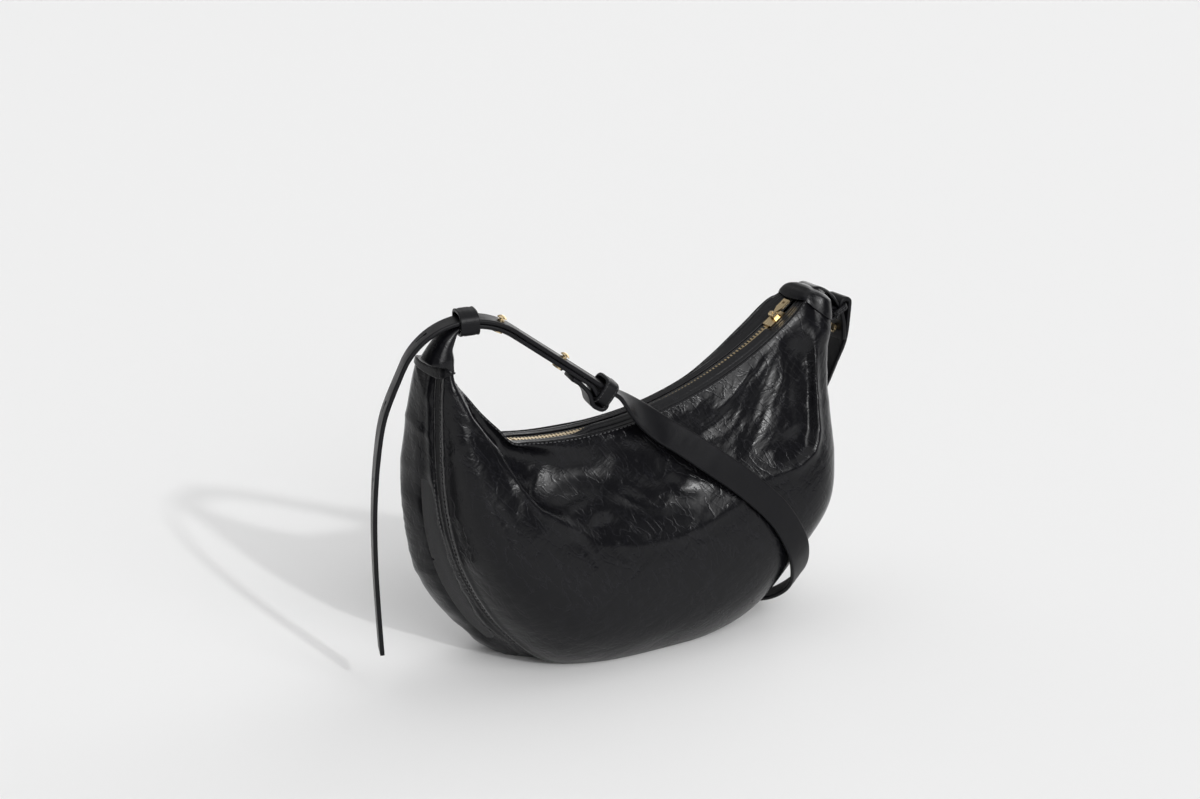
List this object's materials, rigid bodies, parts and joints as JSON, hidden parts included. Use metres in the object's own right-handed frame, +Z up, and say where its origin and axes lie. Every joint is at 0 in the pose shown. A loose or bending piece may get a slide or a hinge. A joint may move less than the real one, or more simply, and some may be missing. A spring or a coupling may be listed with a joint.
{
  "type": "half moon bag",
  "caption": "Crescent-shaped soft leather shoulder bag with a curved metal zip, studded strap joined by leather rings, and a free strap end over one horn.",
  "frame": {"origin": "on the floor under the bag, midway between its two horns, in the plane of the zip and of the outer seam", "axes": "+X along the bag towards the horn where the zip closes, +Y from the front panel to the back panel, +Z up"},
  "size_m": [0.3604, 0.1119, 0.2444],
  "materials": {
    "leather": "glossy crinkled black leather with fine grain",
    "cloth": "plain woven black cloth",
    "brass": "polished pale brass"
  },
  "bodies": {
    "bag": {"front_panel": "leather", "back_panel": "leather", "seam_tape": "cloth", "zip_strip_front": "leather", "zip_strip_back": "leather", "left_cap": "leather", "right_cap": "leather", "zip_tape_front": "cloth", "zip_tape_back": "cloth", "zip_teeth_front": "brass", "zip_teeth_back": "brass", "zip_end_stops": "brass", "lining_front": "cloth", "lining_back": "cloth", "inner_pocket": "cloth", "short_strap": "leather", "long_strap": "leather", "middle_ring": "leather", "end_ring": "leather", "stud_heads": "brass", "stud_screws": "brass"},
    "slider": {"zip_slider": "brass"},
    "pull": {"zip_pull": "brass"},
    "keeper": {"keeper_ring": "leather"}
  },
  "joints": [
    {"name": "zip_slide", "type": "hinge", "parent": "bag", "child": "slider", "pos_m": [-0.0535, 0, 0.4311], "axis": [0, 1, 0], "range_deg": [0, 42.3], "deforming": ["zip_teeth_front", "zip_teeth_back"]},
    {"name": "pull_swing", "type": "hinge", "parent": "slider", "child": "pull", "pos_m": [0.10477, 0, 0.20566], "axis": [0, -1, 0], "range_deg": [0, 160]},
    {"name": "keeper_slide", "type": "hinge", "parent": "bag", "child": "keeper", "pos_m": [-0.12666, -0.00239, 0.1908], "axis": [0.2756, 0.9613, 0], "range_deg": [0, 14]}
  ]
}
